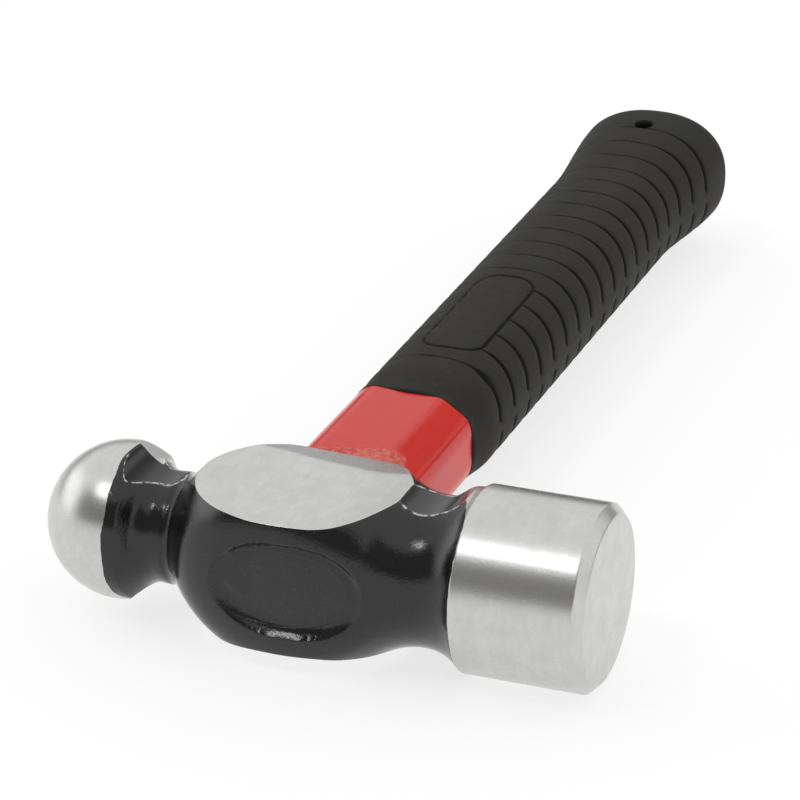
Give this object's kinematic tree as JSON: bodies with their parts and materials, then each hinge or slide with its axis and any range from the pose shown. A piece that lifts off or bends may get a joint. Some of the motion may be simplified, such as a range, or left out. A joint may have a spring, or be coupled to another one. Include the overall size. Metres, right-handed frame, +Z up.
{
  "type": "ball peen hammer",
  "caption": "Ball peen hammer with a flat striking face and a rounded peen on a forged head, bonded to a jacketed fibreglass handle with a ribbed rubber grip and a hang hole.",
  "frame": {"origin": "centre of the bounding box at the level of the surface that the hammer lies on", "axes": "+X along the head towards the flat striking face, +Y along the handle towards the butt, +Z up out of the upper cheek"},
  "size_m": [0.1204, 0.2636, 0.038],
  "materials": {
    "forged_steel": "brushed faces, black gloss enamel on the body and necks",
    "epoxy_fill": "black gloss, slightly grainy",
    "fibreglass": "matte resin and glass",
    "red_jacket": "semi-gloss moulded plastic",
    "black_rubber": "matte moulded rubber with ring grooves"
  },
  "bodies": {
    "root": {"head": "forged_steel", "eye_epoxy": "epoxy_fill", "fibreglass_core": "fibreglass", "handle_jacket": "red_jacket", "rubber_grip": "black_rubber"}
  },
  "joints": []
}
